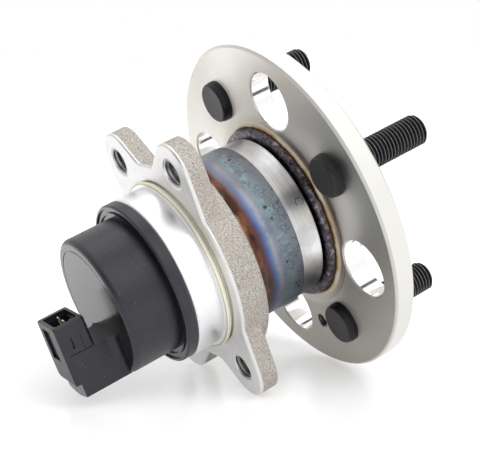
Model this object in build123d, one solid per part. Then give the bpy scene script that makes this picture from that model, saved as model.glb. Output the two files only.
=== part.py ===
from build123d import *
import os
from math import acos, cos, degrees, hypot, pi, radians, sin

# Wheel hub bearing for a rear wheel, with the speed sensor cap on its inboard end
# Frame: Y is the spin axis and points to the wheel, Z is up towards the upper pair of ears,
# and the origin is the centre of the face that bolts to the axle. All lengths are in millimetres.
# A name that ends in radius is measured from the axis of its own feature.

# Half a turn and a full turn in degrees
half_turn = 180.0
full_turn = 360.0

# A cutter runs past a face by this much, and edges are picked out within this distance
cutter_over = 1.0
pick = 0.2

# Bearing: balls, raceways and lands
ball_radius = 5.0
ball_count = 12
pitch_radius = 22.5
race_gap = 0.04
land_height = 2.1
outboard_row = 29.5
inboard_row = 5.0
race_radius = ball_radius + race_gap
outer_race = pitch_radius + race_radius
inner_race = pitch_radius - race_radius
land_radius = pitch_radius + land_height
shoulder_radius = pitch_radius - land_height
rows_middle = (outboard_row + inboard_row) / 2

# Bearing: seat of the separate inner ring, spindle and seal journal
inner_ring_wall = 4.46
spindle_drop = 2.0
journal_rise = 1.0
seat_radius = inner_race - inner_ring_wall
spindle_radius = seat_radius - spindle_drop
journal_radius = shoulder_radius + journal_rise

# Outer ring: bore and walls, from the inside out
bore_rise = 0.66
barrel_wall = 4.8
band_cut = 0.4
spigot_wall = 4.3
bead_height = 2.0
groove_height = 1.0
relief_margin = 0.6
face_width = 5.7
seat_bore_radius = outer_race + bore_rise
barrel_radius = seat_bore_radius + barrel_wall
band_radius = barrel_radius - band_cut
spigot_radius = seat_bore_radius + spigot_wall
bead_radius = spigot_radius + bead_height
bead_groove_radius = spigot_radius + groove_height
face_start_radius = bead_radius + relief_margin
mount_disc_radius = face_start_radius + face_width

# Outer ring: places along the axis, and edges
spigot_length = 13.3
spigot_chamfer = 0.8
mouth_chamfer = 2.0
cap_seat_depth = 6.8
bead_front = -2.1
bead_back = -0.4
bead_edge = 0.35
face_relief = 0.2
mount_disc_thickness = 12.0
mount_chamfer = 0.6
mount_back_chamfer = 0.5
barrel_blend = 3.0
band_width = 9.4
band_chamfer = 0.4
seal_seat_depth = 7.3
ring_overhang = 13.8
spigot_end = -spigot_length
ring_end = outboard_row + ring_overhang
band_start = ring_end - band_width
seal_seat = ring_end - seal_seat_depth

# Outer ring: ears with their threaded holes; the angles are from Z, the share is of the ear's radius
ear_half_angle = 30.0
ear_hole_outset = 5.2
ear_thread_radius = 5.0
ear_countersink = 0.35
ear_wall = 6.6
ear_thickness = 8.0
ear_flare_angle = 40.0
ear_flank_share = 1.6
ear_blend = 5.0
ear_radius = ear_thread_radius + ear_wall
ear_x = (mount_disc_radius + ear_hole_outset) * sin(radians(ear_half_angle))
ear_z = (mount_disc_radius + ear_hole_outset) * cos(radians(ear_half_angle))

# Wheel hub: boss and flange
hub_gap = 0.9
boss_height = 4.0
boss_radius = 35.7
boss_round = 1.5
boss_blend = 2.3
flange_margin = 18.9
flange_thickness = 8.6
flange_chamfer = 0.9
boss_face = ring_end + hub_gap
flange_face = boss_face + boss_height
flange_back = flange_face + flange_thickness

# Wheel hub: stud holes, openings between them and the small threaded hole; the turns are degrees
bolt_circle_diameter = 100.0
stud_count = 4
stud_turn = 24.6
stud_radius = 6.0
knurl_height = 0.35
lightening_radius = 11.5
lightening_chamfer = 0.6
locator_hole_radius = 3.0
locator_countersink = 0.3
locator_turn = 22.1
knurl_radius = stud_radius + knurl_height
bolt_radius = bolt_circle_diameter / 2
flange_radius = bolt_radius + flange_margin
stud_angles = [stud_turn + full_turn / stud_count * i for i in range(stud_count)]
gap_angles = [a + full_turn / stud_count / 2 for a in stud_angles]

# Wheel hub: pilots and the hollow nose
pilot_radius = 28.0
brake_pilot_rise = 2.0
brake_pilot_height = 5.2
wheel_pilot_height = 9.7
pilot_chamfer = 1.2
relief_width = 1.6
relief_depth = 0.5
pocket_wall = 6.0
pocket_taper = 2.5
pocket_mouth_length = 11.7
pocket_depth = 32.7
pocket_floor_radius = 9.0
pocket_edge = 1.0
brake_pilot_radius = pilot_radius + brake_pilot_rise
nose_end = flange_back + brake_pilot_height + wheel_pilot_height
pocket_mouth_radius = pilot_radius - pocket_wall
pocket_waist_radius = pocket_mouth_radius - pocket_taper
pocket_waist_y = nose_end - pocket_mouth_length
pocket_floor = nose_end - pocket_depth

# Wheel hub: journal and spindle
journal_setback = 8.4
journal_blend = 2.5
spindle_chamfer = 1.0
inner_ring_overhang = 11.5
seat_relief = 0.5
spindle_reach = 12.5
journal_start = boss_face - journal_setback
inner_ring_start = inboard_row - inner_ring_overhang
seat_end = inner_ring_start + seat_relief
spindle_end = inner_ring_start - spindle_reach
inner_ring_edge = 0.8

# Wheel studs: head, knurl and tip; the shank is drawn at the thread's outer size
head_height = 4.0
head_face_radius = 7.5
head_radius = 8.0
head_foot_radius = 8.3
head_chamfer = 0.6
head_rim_height = 2.0
head_ramp = 0.3
stud_length = 32.7
tip_chamfer = 1.2
stud_tip = flange_back + stud_length
knurl_length = flange_thickness - knurl_height

# Ball cages
cage_wall = 1.8
cage_rim = 1.4
cage_edge = 0.4
pocket_gap = 0.12
cage_wall_in = pitch_radius - cage_wall / 2
cage_wall_out = pitch_radius + cage_wall / 2
cage_half_width = ball_radius + cage_rim

# Wheel side seal: steel case and rubber lips
case_setback = 0.4
case_depth = 5.0
case_thickness = 1.0
case_hole_gap = 2.0
lip_running_gap = 0.05
rubber_web = 1.0
rubber_margin = 1.0
rubber_heel_inset = 3.0
rubber_reach = 1.6
rubber_tip_width = 0.6
rubber_toe = 2.4
axial_lip_gap = 0.9
case_back = seal_seat + case_setback
case_hole_radius = journal_radius + case_hole_gap
case_mouth = case_back + case_depth
rubber_back = case_back + case_thickness
rubber_web_top = rubber_back + rubber_web
rubber_outside = seat_bore_radius - rubber_margin
rubber_heel = seat_bore_radius - rubber_heel_inset
rubber_tip = boss_face - axial_lip_gap

# Lock nut
nut_wall = 4.0
nut_flange_margin = 3.4
nut_flange_thickness = 2.2
nut_height = 10.5
nut_crown = 1.2
nut_collar_height = 1.6
nut_collar_wall = 1.8
nut_flat_radius = spindle_radius + nut_wall
nut_flange_radius = nut_flat_radius + nut_flange_margin
nut_collar_radius = spindle_radius + nut_collar_wall
nut_front = inner_ring_start - nut_height

# Sensor cap: round wall and lip
cap_clearance = 0.9
cap_length = 24.0
cap_wall = 2.5
cap_edge = 2.2
cap_inner_edge = 1.0
lip_inset = 0.1
lip_thickness = 4.7
lip_web = 1.5
lip_round = 0.9
lip_back_edge = 0.3
inner_groove_width = 1.6
ridge_width = 0.6
outer_groove_width = 1.7
cap_groove_depth = 0.7
ring_line_inset = 3.9
ring_line_width = 0.4
ring_line_depth = 0.2
cap_radius = seat_bore_radius - cap_clearance
cap_inside = cap_radius - cap_wall
cap_front = spigot_end - cap_length
lip_radius = spigot_radius - lip_inset
lip_front = spigot_end - lip_thickness
inner_groove_radius = cap_radius + inner_groove_width
ridge_radius = inner_groove_radius + ridge_width
outer_groove_radius = ridge_radius + outer_groove_width
ring_line_radius = cap_radius - ring_line_inset

# Sensor cap: arm under the socket
arm_half_width = 8.6
arm_top = -9.0
arm_length = 17.9
arm_blend = 3.6
arm_edge = 0.3
arm_front = cap_front - arm_length

# Speed sensor: tone ring on the hub, then pole piece, magnet, coil and sleeve in the cap
tone_metal = 1.1
tone_grip = 4.5
tone_setback = 0.7
tone_rim_length = 9.0
tone_pole_gap = 0.8
window_count = 40
window_share = 0.5
window_margin = 1.4
pole_metal = 1.2
pole_gap = 1.5
pole_cup_length = 11.6
pole_hole_radius = 9.0
magnet_hole_radius = 12.0
magnet_margin = 1.3
magnet_thickness = 2.4
bobbin_gap = 1.8
bobbin_length = 9.0
bobbin_flange = 1.0
bobbin_core_wall = 2.1
bobbin_hole_radius = 9.5
bobbin_rim_gap = 2.4
winding_margin = 1.2
sleeve_thickness = 1.1
sleeve_length = 9.3
sleeve_seat_gap = 0.7
sleeve_lead_in = 0.4
oring_cord_radius = 0.55
oring_gap = 0.01
bobbin_front = cap_front + cap_wall + bobbin_gap
bobbin_back = bobbin_front + bobbin_length
bobbin_core_radius = bobbin_hole_radius + bobbin_core_wall
bobbin_rim_radius = cap_inside - bobbin_rim_gap
winding_radius = bobbin_rim_radius - winding_margin
magnet_front = bobbin_back
magnet_back = magnet_front + magnet_thickness
pole_cup_radius = cap_inside - pole_gap
pole_cup_end = magnet_back + pole_cup_length
magnet_radius = pole_cup_radius - magnet_margin
tone_inside = pole_cup_radius + tone_pole_gap
tone_rim_radius = tone_inside + tone_metal
tone_step = inner_ring_start - tone_setback
tone_sleeve_end = inner_ring_start + tone_grip
tone_rim_end = tone_step - tone_rim_length
sleeve_back = spigot_end + cap_seat_depth - sleeve_seat_gap
sleeve_front = sleeve_back - sleeve_length

# Connector socket: housing
socket_setback = 2.2
socket_depth = 12.4
socket_top = 3.4
socket_corner = 1.2
socket_shoulder = 1.5
socket_front_corner = 2.6
apron_drop = 11.3
socket_front = arm_front - socket_setback
socket_back = socket_front + socket_depth
apron_bottom = arm_top - apron_drop

# Connector socket: cavity for the plug, coding rib, latch window, catch slot, parting groove and seam
cavity_low_x = -4.9
cavity_high_x = 6.4
front_wall = 2.0
back_wall = 2.5
cavity_depth = 9.8
mouth_margin = 0.7
mouth_depth = 1.8
rib_low_x = 1.4
rib_width = 1.0
rib_reach = 1.2
window_low_x = -5.2
window_high_x = 2.0
window_drop = 2.5
window_height = 12.3
window_depth = 1.0
catch_drop = 6.0
catch_height = 4.0
catch_setback = 4.3
catch_width = 0.9
catch_depth = 0.8
parting_setback = 8.3
parting_width = 0.4
parting_drop = 6.0
parting_height = 6.4
parting_depth = 0.3
seam_depth = 0.35
cavity_front = socket_front + front_wall
cavity_back = socket_back - back_wall
cavity_floor = socket_top - cavity_depth

# Terminals: two blades in the socket, each on a strip that comes from the coil
pin_x = 2.5
pin_width = 1.6
pin_thickness = 0.64
pin_setback = 6.4
pin_drop = 0.6
pin_tip_taper = 0.25
strip_drop = 5.0
pin_y = socket_front + pin_setback
pin_top = socket_top - pin_drop
strip_z = arm_top - strip_drop


def outline(steps):
    """Closed face from points (radius, y); a step of two points is an arc through the first to the second."""
    edges = []
    here = steps[0]
    for step in steps[1:] + [steps[0]]:
        if isinstance(step[0], tuple):
            edges.append(ThreePointArc(here, step[0], step[1]))
            here = step[1]
        else:
            edges.append(Line(here, step))
            here = step
    return make_face(edges)


def turned(steps):
    """Solid of revolution about the spin axis."""
    return revolve(outline(steps), Axis.Y, full_turn)


def rod(radius, start, end, x=0, z=0):
    """Round bar parallel to the spin axis from y = start to y = end."""
    base = Plane(origin=(x, start, z), z_dir=(0, 1, 0))
    return base * Cylinder(radius, end - start, align=(Align.CENTER, Align.CENTER, Align.MIN))


def cone(radius_start, radius_end, start, end, x=0, z=0):
    """Cone parallel to the spin axis."""
    base = Plane(origin=(x, start, z), z_dir=(0, 1, 0))
    return base * Cone(radius_start, radius_end, end - start, align=(Align.CENTER, Align.CENTER, Align.MIN))


def block(low, high):
    """Box between two corners."""
    size = [b - a for a, b in zip(low, high)]
    return Pos(*low) * Box(*size, align=(Align.MIN, Align.MIN, Align.MIN))


def polar(radius, angle):
    """Point at an angle from X towards Z, as (x, z)."""
    return radius * cos(radians(angle)), radius * sin(radians(angle))


def round_corner(inside, corner_radius, first, second):
    """Arc about the centre between two angles, as (middle point, end point)."""
    middle = (first + second) / 2
    return (
        (inside[0] + corner_radius * cos(radians(middle)), inside[1] + corner_radius * sin(radians(middle))),
        (inside[0] + corner_radius * cos(radians(second)), inside[1] + corner_radius * sin(radians(second))),
    )


def race_point(row, angle):
    """Point on a raceway groove at an angle from the outward radius towards plus Y."""
    return pitch_radius + race_radius * cos(radians(angle)), row + race_radius * sin(radians(angle))


def race_arc(row, first, second):
    """Raceway groove between two angles, as (middle point, end point)."""
    return race_point(row, (first + second) / 2), race_point(row, second)


def make_outer_ring():
    """Axle side ring: ears, spigot, barrel, both outer raceways."""
    # Turned body
    land_angle = degrees(acos((land_radius - pitch_radius) / race_radius))
    spigot_edge = spigot_radius - spigot_chamfer
    mouth = seat_bore_radius + mouth_chamfer
    seat_floor = spigot_end + cap_seat_depth
    body = turned([
        (seat_bore_radius, spigot_end + mouth_chamfer),
        (mouth, spigot_end),
        (spigot_edge, spigot_end),
        (spigot_radius, spigot_end + spigot_chamfer),
        (spigot_radius, bead_front),
        (bead_radius - bead_edge, bead_front),
        (bead_radius, bead_front + bead_edge),
        (bead_radius, bead_back - bead_edge),
        (bead_radius - bead_edge, bead_back),
        (bead_groove_radius, bead_back),
        (bead_groove_radius, face_relief),
        (face_start_radius, face_relief),
        (face_start_radius, 0),
        (mount_disc_radius - mount_chamfer, 0),
        (mount_disc_radius, mount_chamfer),
        (mount_disc_radius, mount_disc_thickness - mount_back_chamfer),
        (mount_disc_radius - mount_back_chamfer, mount_disc_thickness),
        (barrel_radius + barrel_blend, mount_disc_thickness),
        round_corner((barrel_radius + barrel_blend, mount_disc_thickness + barrel_blend), barrel_blend,
                     -half_turn / 2, -half_turn),
        (barrel_radius, band_start),
        (band_radius, band_start),
        (band_radius, ring_end - band_chamfer),
        (band_radius - band_chamfer, ring_end),
        (seat_bore_radius + band_chamfer, ring_end),
        (seat_bore_radius, ring_end - band_chamfer),
        (seat_bore_radius, seal_seat),
        (outer_race, seal_seat),
        race_point(outboard_row, 0),
        race_arc(outboard_row, 0, -land_angle),
        race_point(inboard_row, land_angle),
        race_arc(inboard_row, land_angle, 0),
        (outer_race, seat_floor),
        (seat_bore_radius, seat_floor),
    ])
    # Four ears, drawn flat and drawn out along Y
    plate = Circle(mount_disc_radius)
    for side in (1, -1):
        for height in (1, -1):
            plate += ear_outline(side, height)
    plate = Plane(origin=(0, 0, 0), x_dir=(1, 0, 0), z_dir=(0, -1, 0)) * plate
    ears = extrude(plate, -ear_thickness)
    upright = [e for e in ears.edges() if abs(e.center().Y - ear_thickness / 2) < pick]
    roots = [e for e in upright if abs(hypot(e.center().X, e.center().Z) - mount_disc_radius) < pick]
    ears = fillet(roots, ear_blend)
    front = [e for e in ears.edges() if abs(e.center().Y) < pick]
    ears = chamfer(front, mount_chamfer)
    back = [e for e in ears.edges() if abs(e.center().Y - ear_thickness) < pick]
    ears = chamfer(back, mount_back_chamfer)
    ears -= rod(face_start_radius, -cutter_over, ear_thickness + cutter_over)
    ring = body + ears
    # Threaded holes through the ears, drawn at the thread's outer size with both mouths countersunk
    for x in (ear_x, -ear_x):
        for z in (ear_z, -ear_z):
            c = ear_countersink
            ring -= rod(ear_thread_radius, -cutter_over, ear_thickness + cutter_over, x, z)
            ring -= cone(ear_thread_radius + c, ear_thread_radius, 0, c, x, z)
            ring -= cone(ear_thread_radius, ear_thread_radius + c, ear_thickness - c, ear_thickness, x, z)
    return ring


def ear_outline(side, height):
    """One ear of the mounting flange, flat, from the disc round the bolt hole."""
    tangent_x = ear_radius * sin(radians(ear_flare_angle))
    tangent_z = ear_radius * cos(radians(ear_flare_angle))
    run = ear_radius * ear_flank_share
    top = (ear_x - tangent_x, ear_z + tangent_z)
    foot = (top[0] - run * cos(radians(ear_flare_angle)), top[1] - run * sin(radians(ear_flare_angle)))
    shape = Polygon(
        (ear_x + ear_radius, ear_z),
        top,
        foot,
        (0, ear_z - ear_radius),
        (0, 0),
        (ear_x + ear_radius, 0),
        align=None,
    )
    shape += Pos(ear_x, ear_z) * Circle(ear_radius)
    if side < 0:
        shape = mirror(shape, Plane.YZ)
    if height < 0:
        shape = mirror(shape, Plane.XZ)
    return shape


def make_wheel_hub():
    """Wheel side: flange, pilots, boss, seal journal, outboard inner raceway and spindle."""
    shoulder_angle = half_turn - degrees(acos((pitch_radius - shoulder_radius) / race_radius))
    hub = turned([
        (0, spindle_end),
        (spindle_radius - spindle_chamfer, spindle_end),
        (spindle_radius, spindle_end + spindle_chamfer),
        (spindle_radius, seat_end),
        (seat_radius, seat_end),
        (seat_radius, rows_middle),
        (inner_race, rows_middle),
        race_point(outboard_row, half_turn),
        race_arc(outboard_row, half_turn, shoulder_angle),
        (shoulder_radius, journal_start - (journal_radius - shoulder_radius)),
        (journal_radius, journal_start),
        (journal_radius, boss_face - journal_blend),
        round_corner((journal_radius + journal_blend, boss_face - journal_blend), journal_blend,
                     half_turn, half_turn / 2),
        (boss_radius - boss_round, boss_face),
        round_corner((boss_radius - boss_round, boss_face + boss_round), boss_round, -half_turn / 2, 0),
        (boss_radius, flange_face - boss_blend),
        round_corner((boss_radius + boss_blend, flange_face - boss_blend), boss_blend,
                     half_turn, half_turn / 2),
        (flange_radius - flange_chamfer, flange_face),
        (flange_radius, flange_face + flange_chamfer),
        (flange_radius, flange_back - flange_chamfer),
        (flange_radius - flange_chamfer, flange_back),
        (brake_pilot_radius + relief_width, flange_back),
        (brake_pilot_radius + relief_width / 2, flange_back - relief_depth),
        (brake_pilot_radius, flange_back - relief_depth),
        (brake_pilot_radius, flange_back + brake_pilot_height - pilot_chamfer / 2),
        (brake_pilot_radius - pilot_chamfer / 2, flange_back + brake_pilot_height),
        (pilot_radius, flange_back + brake_pilot_height),
        (pilot_radius, nose_end - pilot_chamfer * 2),
        (pilot_radius - pilot_chamfer, nose_end),
        (pocket_mouth_radius + pocket_edge, nose_end),
        (pocket_mouth_radius, nose_end - pocket_edge),
        (pocket_waist_radius, pocket_waist_y),
        (pocket_floor_radius, pocket_floor),
        (0, pocket_floor),
    ])
    # Press holes of the studs, lightening holes and the small threaded hole
    low, high = flange_face - cutter_over, flange_back + cutter_over
    for angle in stud_angles:
        x, z = polar(bolt_radius, angle)
        hub -= rod(knurl_radius, low, high, x, z)
    for angle in gap_angles:
        x, z = polar(bolt_radius, angle)
        c = lightening_chamfer
        hub -= rod(lightening_radius, low, high, x, z)
        hub -= cone(lightening_radius + c, lightening_radius, flange_face, flange_face + c, x, z)
        hub -= cone(lightening_radius, lightening_radius + c, flange_back - c, flange_back, x, z)
    x, z = polar(bolt_radius, stud_angles[3] - locator_turn)
    c = locator_countersink
    hub -= rod(locator_hole_radius, low, high, x, z)
    hub -= cone(locator_hole_radius + c, locator_hole_radius, flange_face, flange_face + c, x, z)
    return hub


def make_studs():
    """Four pressed wheel studs as one group of separate solids."""
    head = flange_face - head_height
    stud = turned([
        (0, head),
        (head_face_radius, head),
        (head_radius, head + head_chamfer),
        (head_radius, head + head_rim_height),
        (head_foot_radius, head + head_rim_height + head_ramp),
        (head_foot_radius, flange_face),
        (knurl_radius, flange_face),
        (knurl_radius, flange_face + knurl_length),
        (stud_radius, flange_face + knurl_length + knurl_height),
        (stud_radius, stud_tip - tip_chamfer),
        (stud_radius - tip_chamfer, stud_tip),
        (0, stud_tip),
    ])
    group = []
    for angle in stud_angles:
        x, z = polar(bolt_radius, angle)
        group.append(Pos(x, 0, z) * stud)
    return Compound(children=[s.solid() for s in group])


def make_inner_ring():
    """Separate inner ring of the inboard row."""
    shoulder_angle = half_turn + degrees(acos((pitch_radius - shoulder_radius) / race_radius))
    return turned([
        (seat_radius, inner_ring_start + inner_ring_edge),
        (seat_radius + inner_ring_edge, inner_ring_start),
        (shoulder_radius - inner_ring_edge, inner_ring_start),
        (shoulder_radius, inner_ring_start + inner_ring_edge),
        race_point(inboard_row, shoulder_angle),
        race_arc(inboard_row, shoulder_angle, half_turn),
        (inner_race, rows_middle),
        (seat_radius, rows_middle),
    ])


def make_balls(row):
    """One row of balls as a group of separate solids."""
    balls = []
    for i in range(ball_count):
        x, z = polar(pitch_radius, full_turn / ball_count * i)
        balls.append((Pos(x, row, z) * Sphere(ball_radius)).solid())
    return Compound(children=balls)


def make_cage(row):
    """Moulded cage ring with a round pocket for each ball."""
    low, high = row - cage_half_width, row + cage_half_width
    cage = turned([
        (cage_wall_in + cage_edge, low),
        (cage_wall_out - cage_edge, low),
        (cage_wall_out, low + cage_edge),
        (cage_wall_out, high - cage_edge),
        (cage_wall_out - cage_edge, high),
        (cage_wall_in + cage_edge, high),
        (cage_wall_in, high - cage_edge),
        (cage_wall_in, low + cage_edge),
    ])
    depth = cage_wall_out - cage_wall_in + cutter_over * 2
    for i in range(ball_count):
        angle = full_turn / ball_count * i
        x, z = polar(cage_wall_in - cutter_over, angle)
        way = (cos(radians(angle)), 0, sin(radians(angle)))
        hole = Cylinder(ball_radius + pocket_gap, depth, align=(Align.CENTER, Align.CENTER, Align.MIN))
        cage -= Plane(origin=(x, row, z), z_dir=way) * hole
    return cage


def make_seal_case():
    """Pressed steel case of the wheel side seal."""
    inside = seat_bore_radius - case_thickness
    return turned([
        (case_hole_radius, case_back),
        (seat_bore_radius, case_back),
        (seat_bore_radius, case_mouth),
        (inside, case_mouth),
        (inside, case_back + case_thickness),
        (case_hole_radius, case_back + case_thickness),
    ])


def make_seal_lip():
    """Rubber of the wheel side seal: one lip on the journal and one on the boss face."""
    lip_tip = journal_radius + lip_running_gap
    return turned([
        (case_hole_radius, rubber_back),
        (rubber_outside, rubber_back),
        (rubber_outside, rubber_web_top),
        (rubber_heel, rubber_web_top),
        (rubber_heel + rubber_reach, rubber_tip),
        (rubber_heel + rubber_reach - rubber_tip_width, rubber_tip),
        (rubber_heel - rubber_tip_width * 2, rubber_web_top + rubber_tip_width),
        (case_hole_radius, rubber_web_top + rubber_tip_width),
        (lip_tip, rubber_web_top + rubber_toe),
        (lip_tip, rubber_web_top + rubber_toe - rubber_tip_width),
        (case_hole_radius - rubber_tip_width, rubber_back + rubber_tip_width),
        (case_hole_radius - rubber_tip_width, rubber_back),
    ])


def make_lock_nut():
    """Flanged hexagon nut that clamps the inner ring."""
    corner_radius = nut_flat_radius / cos(pi / 6)
    round_part = turned([
        (spindle_radius, nut_front),
        (nut_flat_radius, nut_front),
        (corner_radius, nut_front + nut_crown),
        (corner_radius, inner_ring_start - nut_flange_thickness - nut_crown),
        (nut_flange_radius, inner_ring_start - nut_flange_thickness),
        (nut_flange_radius, inner_ring_start),
        (spindle_radius, inner_ring_start),
    ])
    hexagon = Plane(origin=(0, nut_front, 0), z_dir=(0, 1, 0)) * RegularPolygon(corner_radius, 6)
    hexagon = extrude(hexagon, nut_height - nut_flange_thickness)
    foot = rod(nut_flange_radius, inner_ring_start - nut_flange_thickness, inner_ring_start)
    nut = round_part & (hexagon + foot)
    collar = turned([
        (spindle_radius, nut_front - nut_collar_height),
        (nut_collar_radius, nut_front - nut_collar_height),
        (nut_collar_radius, nut_front),
        (spindle_radius, nut_front),
    ])
    return nut + collar


def make_tone_ring():
    """Pressed ring with windows that the sensor counts."""
    ring = turned([
        (shoulder_radius, tone_sleeve_end),
        (shoulder_radius, tone_step - tone_metal),
        (tone_inside, tone_step - tone_metal),
        (tone_inside, tone_rim_end),
        (tone_rim_radius, tone_rim_end),
        (tone_rim_radius, tone_step),
        (shoulder_radius + tone_metal, tone_step),
        (shoulder_radius + tone_metal, tone_sleeve_end),
    ])
    width = 2 * pi * tone_rim_radius / window_count * window_share
    low, high = tone_rim_end + window_margin, tone_step - tone_metal - window_margin
    reach = tone_rim_radius + tone_metal
    for i in range(window_count // 2):
        cutter = block((-reach, low, -width / 2), (reach, high, width / 2))
        ring -= Rot(0, half_turn / (window_count // 2) * i, 0) * cutter
    return ring


def make_pole_piece():
    """Soft iron cup that carries the magnet's field to the inside of the tone ring."""
    return turned([
        (pole_hole_radius, magnet_back),
        (pole_cup_radius, magnet_back),
        (pole_cup_radius, pole_cup_end),
        (pole_cup_radius - pole_metal, pole_cup_end),
        (pole_cup_radius - pole_metal, magnet_back + pole_metal),
        (pole_hole_radius, magnet_back + pole_metal),
    ])


def make_magnet():
    """Ring magnet behind the pole piece."""
    return turned([
        (magnet_hole_radius, magnet_front),
        (magnet_radius, magnet_front),
        (magnet_radius, magnet_back),
        (magnet_hole_radius, magnet_back),
    ])


def make_bobbin():
    """Moulded spool of the coil, held in the cap."""
    return turned([
        (bobbin_hole_radius, bobbin_front),
        (bobbin_rim_radius, bobbin_front),
        (bobbin_rim_radius, bobbin_front + bobbin_flange),
        (bobbin_core_radius, bobbin_front + bobbin_flange),
        (bobbin_core_radius, bobbin_back - bobbin_flange),
        (cap_inside, bobbin_back - bobbin_flange),
        (cap_inside, bobbin_back),
        (bobbin_hole_radius, bobbin_back),
    ])


def make_winding():
    """Wound wire of the coil, as one ring."""
    return turned([
        (bobbin_core_radius, bobbin_front + bobbin_flange),
        (winding_radius, bobbin_front + bobbin_flange),
        (winding_radius, bobbin_back - bobbin_flange),
        (bobbin_core_radius, bobbin_back - bobbin_flange),
    ])


def make_sleeve():
    """Steel sleeve that presses the cap into the ring."""
    inside = seat_bore_radius - sleeve_thickness
    return turned([
        (inside, sleeve_front),
        (seat_bore_radius, sleeve_front),
        (seat_bore_radius, sleeve_back - sleeve_lead_in),
        (seat_bore_radius - sleeve_lead_in, sleeve_back),
        (inside, sleeve_back),
    ])


def make_oring():
    """Rubber ring in the chamfer at the mouth of the outer ring."""
    centre_radius = seat_bore_radius + oring_cord_radius + oring_gap
    centre_y = spigot_end + oring_cord_radius + oring_gap
    ring = Torus(centre_radius, oring_cord_radius)
    return Plane(origin=(0, centre_y, 0), z_dir=(0, 1, 0)) * ring


def make_pins():
    """Two bent terminal strips from the coil to the socket."""
    strips = []
    for side in (1, -1):
        x = side * pin_x
        low_x, high_x = x - pin_width / 2, x + pin_width / 2
        half = pin_thickness / 2
        blade = block((low_x, pin_y - half, strip_z - half), (high_x, pin_y + half, pin_top))
        ends = [e for e in blade.edges() if abs(e.center().Z - pin_top) < pick]
        long_ends = [e for e in ends if abs(e.center().X - x) < pick]
        blade = chamfer(long_ends, pin_tip_taper)
        strip = block((low_x, pin_y - half, strip_z - half), (high_x, bobbin_front, strip_z + half))
        strips.append((blade + strip).solid())
    return Compound(children=strips)


def make_cap(pins):
    """Moulded sensor cap with its lip and the solid arm that carries the socket."""
    cap = turned([
        (0, cap_front),
        (cap_radius - cap_edge, cap_front),
        round_corner((cap_radius - cap_edge, cap_front + cap_edge), cap_edge, -half_turn / 2, 0),
        (cap_radius, lip_front + cap_groove_depth),
        (inner_groove_radius, lip_front + cap_groove_depth),
        (inner_groove_radius, lip_front),
        (ridge_radius, lip_front),
        (ridge_radius, lip_front + cap_groove_depth),
        (outer_groove_radius, lip_front + cap_groove_depth),
        (outer_groove_radius, lip_front),
        (lip_radius - lip_round, lip_front),
        round_corner((lip_radius - lip_round, lip_front + lip_round), lip_round, -half_turn / 2, 0),
        (lip_radius, spigot_end - lip_back_edge),
        (lip_radius - lip_back_edge, spigot_end),
        (seat_bore_radius, spigot_end),
        (seat_bore_radius, lip_front + lip_web),
        (cap_inside, lip_front + lip_web),
        (cap_inside, cap_front + cap_wall + cap_inner_edge),
        (cap_inside - cap_inner_edge, cap_front + cap_wall),
        (0, cap_front + cap_wall),
    ])
    # Fine moulded ring on the front face
    line = rod(ring_line_radius, cap_front, cap_front + ring_line_depth)
    line -= rod(ring_line_radius - ring_line_width, cap_front, cap_front + ring_line_depth)
    cap -= line
    # Arm: the lower part of the cap's round, carried forward
    overlap = cap_wall / 2
    w = arm_half_width
    arm = rod(cap_radius, arm_front, cap_front + overlap)
    arm &= block((-w, arm_front, -cap_radius), (w, cap_front + overlap, arm_top))
    front = [e for e in arm.edges() if abs(e.center().Y - arm_front) < pick]
    lowest = min(front, key=lambda e: e.center().Z)
    arm = chamfer([lowest], arm_edge)
    cap = cap + arm + arm_blends(arm_blend)
    cap -= pins
    return cap


def arm_blends(size):
    """Hollow blends between the sides of the arm and the face of the cap."""
    w = arm_half_width
    pieces = None
    for side in (1, -1):
        flat = block((w, cap_front - size, -cap_radius), (w + size, cap_front, arm_top))
        bar = Pos(w + size, cap_front - size, 0) * Cylinder(size, cap_radius * 2 + cutter_over)
        piece = flat - bar
        piece &= rod(cap_radius - cap_edge / 2, cap_front - size, cap_front)
        if side < 0:
            piece = mirror(piece, Plane.YZ)
        pieces = piece if pieces is None else pieces + piece
    return pieces


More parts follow.
